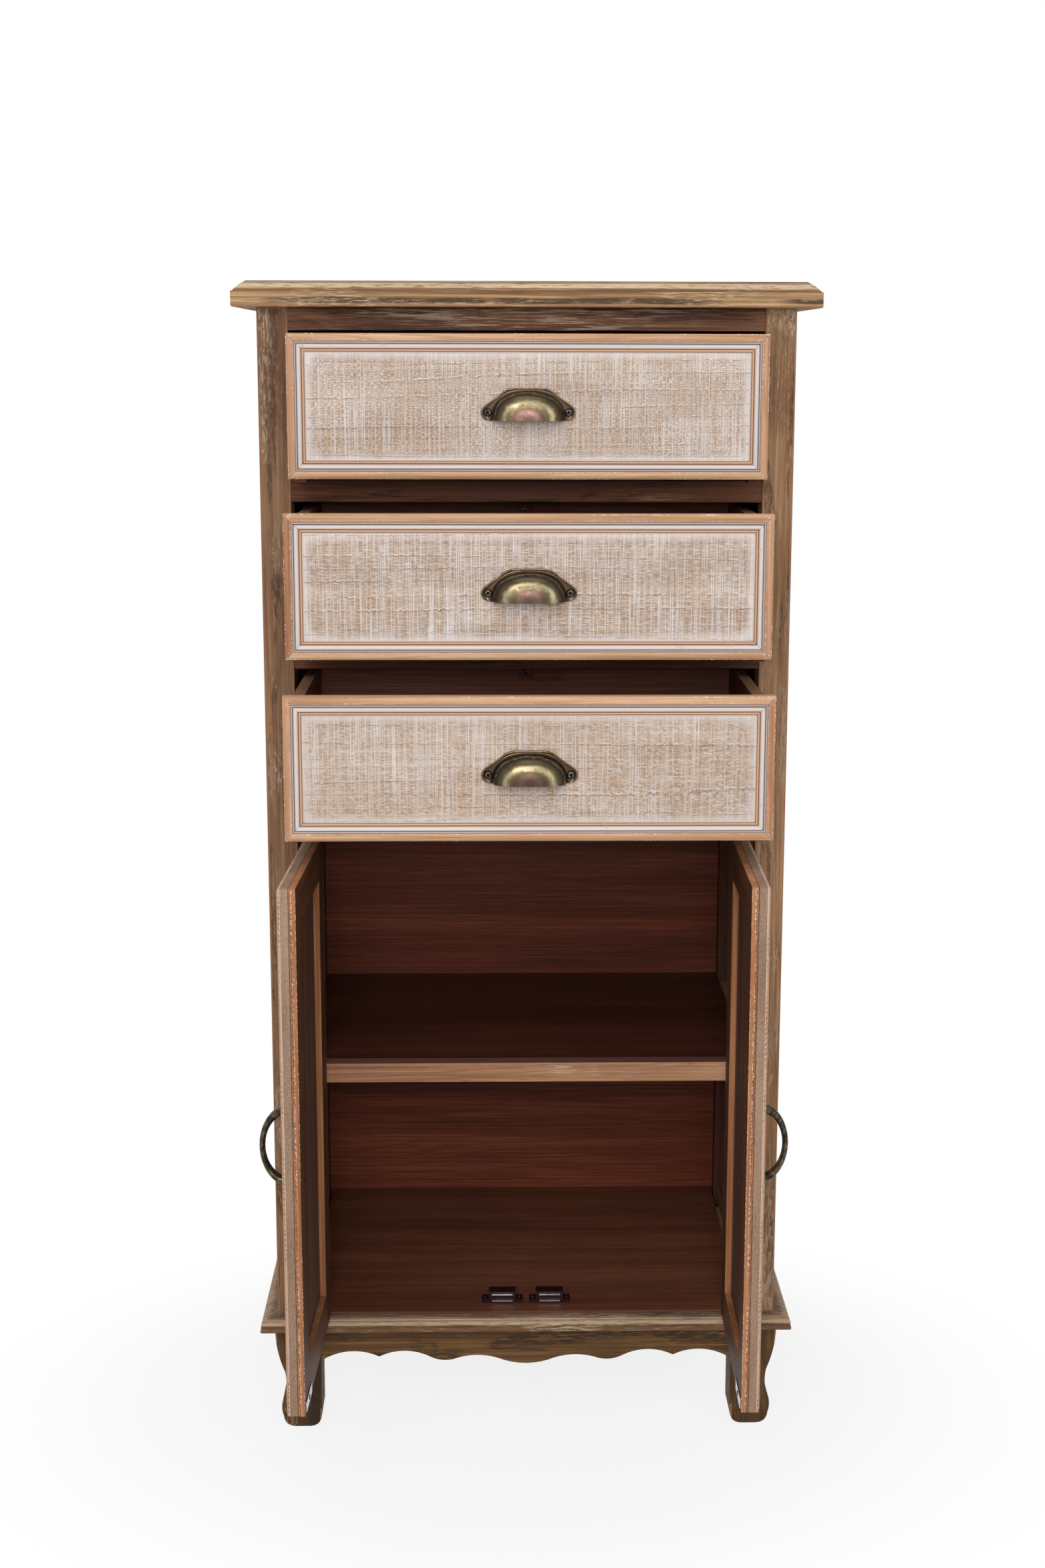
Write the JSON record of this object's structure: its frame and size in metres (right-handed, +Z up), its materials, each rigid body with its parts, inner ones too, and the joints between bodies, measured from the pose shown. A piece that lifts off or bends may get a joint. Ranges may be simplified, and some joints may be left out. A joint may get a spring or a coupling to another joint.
{
  "type": "storage cabinet",
  "caption": "Tall narrow wooden cabinet with inset drawers over a two-door cupboard with a shelf, on short sawn legs, shown open.",
  "frame": {"origin": "on the floor, in the middle of the bounding box of the cabinet as it stands open; x = 0 is the cabinet's middle plane", "axes": "+Z up, +X to the right of someone who faces the doors, front towards -Y"},
  "size_m": [0.598, 0.632, 1.2508],
  "materials": {
    "top_wood": "worn satin",
    "post_wood": "worn matt",
    "side_rail_wood": "worn matt",
    "side_panel_wood": "worn matt",
    "rail_wood": "worn matt",
    "back_plywood": "matt",
    "floor_plywood": "matt",
    "shelf_plywood": "matt",
    "strip_wood": "matt",
    "cleat_wood": "matt",
    "runner_wood": "matt",
    "base_wood": "worn matt",
    "leg_wood": "worn matt",
    "apron_wood": "worn matt",
    "catch_plastic": "matt",
    "catch_steel": "satin",
    "hinge_steel": "aged",
    "drawer_panel_wood": "limed, rough-sawn",
    "drawer_moulding_wood": "worn paint",
    "drawer_box_wood": "matt",
    "drawer_bottom_plywood": "matt",
    "block_wood": "matt",
    "pull_brass": "antiqued",
    "screw_brass": "antiqued",
    "door_panel_wood": "limed, rough-sawn",
    "door_moulding_wood": "worn paint",
    "door_frame_wood": "worn matt",
    "handle_brass": "antiqued",
    "strike_steel": "satin"
  },
  "bodies": {
    "case": {"top_board": "top_wood", "front_left_post": "post_wood", "front_right_post": "post_wood", "rear_left_post": "post_wood", "rear_right_post": "post_wood", "side_rails": "side_rail_wood", "left_side_panel": "side_panel_wood", "right_side_panel": "side_panel_wood", "top_rail": "rail_wood", "divider_rails": "rail_wood", "back_panel": "back_plywood", "floor_board": "floor_plywood", "shelf_board": "shelf_plywood", "shelf_front_strip": "strip_wood", "cleats": "cleat_wood", "drawer_runners": "runner_wood", "base_moulding": "base_wood", "front_left_leg": "leg_wood", "front_right_leg": "leg_wood", "rear_left_leg": "leg_wood", "rear_right_leg": "leg_wood", "front_apron": "apron_wood", "side_and_rear_aprons": "apron_wood", "magnetic_catches": "catch_plastic", "catch_plates": "catch_steel", "fixed_hinges": "hinge_steel"},
    "upper_drawer": {"upper_drawer_front": "drawer_panel_wood", "upper_drawer_moulding": "drawer_moulding_wood", "upper_drawer_walls": "drawer_box_wood", "upper_drawer_bottom": "drawer_bottom_plywood", "upper_cup_pull": "pull_brass", "upper_drawer_screws": "screw_brass"},
    "upper_block": {"upper_turning_block": "block_wood"},
    "middle_drawer": {"middle_drawer_front": "drawer_panel_wood", "middle_drawer_moulding": "drawer_moulding_wood", "middle_drawer_walls": "drawer_box_wood", "middle_drawer_bottom": "drawer_bottom_plywood", "middle_cup_pull": "pull_brass", "middle_drawer_screws": "screw_brass"},
    "middle_block": {"middle_turning_block": "block_wood"},
    "lower_drawer": {"lower_drawer_front": "drawer_panel_wood", "lower_drawer_moulding": "drawer_moulding_wood", "lower_drawer_walls": "drawer_box_wood", "lower_drawer_bottom": "drawer_bottom_plywood", "lower_cup_pull": "pull_brass", "lower_drawer_screws": "screw_brass"},
    "lower_block": {"lower_turning_block": "block_wood"},
    "left_door": {"left_door_panel": "door_panel_wood", "left_door_moulding": "door_moulding_wood", "left_door_frame": "door_frame_wood", "left_bow_handle": "handle_brass", "left_hinge_leaves": "hinge_steel", "left_strike_plate": "strike_steel"},
    "right_door": {"right_door_panel": "door_panel_wood", "right_door_moulding": "door_moulding_wood", "right_door_frame": "door_frame_wood", "right_bow_handle": "handle_brass", "right_hinge_leaves": "hinge_steel", "right_strike_plate": "strike_steel"}
  },
  "joints": [
    {"name": "upper_drawer_slide", "type": "slide", "parent": "case", "child": "upper_drawer", "axis": [0, -1, 0], "range_m": [-0.064, 0.151]},
    {"name": "middle_drawer_slide", "type": "slide", "parent": "case", "child": "middle_drawer", "axis": [0, -1, 0], "range_m": [-0.13, 0.085]},
    {"name": "lower_drawer_slide", "type": "slide", "parent": "case", "child": "lower_drawer", "axis": [0, -1, 0], "range_m": [-0.174, 0.041]},
    {"name": "left_door_hinge", "type": "hinge", "parent": "case", "child": "left_door", "pos_m": [-0.24195, -0.07484, 0.408], "axis": [0, 0, -1], "range_deg": [-92, 18]},
    {"name": "right_door_hinge", "type": "hinge", "parent": "case", "child": "right_door", "pos_m": [0.24195, -0.07484, 0.408], "axis": [0, 0, 1], "range_deg": [-89, 21]},
    {"name": "upper_block_pivot", "type": "hinge", "parent": "upper_drawer", "child": "upper_block", "pos_m": [0, 0.13786, 1.18455], "axis": [0, -1, 0], "range_deg": [-90, 90]},
    {"name": "middle_block_pivot", "type": "hinge", "parent": "middle_drawer", "child": "middle_block", "pos_m": [0, 0.07186, 1.01115], "axis": [0, -1, 0], "range_deg": [-90, 90]},
    {"name": "lower_block_pivot", "type": "hinge", "parent": "lower_drawer", "child": "lower_block", "pos_m": [0, 0.02786, 0.83775], "axis": [0, -1, 0], "range_deg": [-90, 90]}
  ]
}
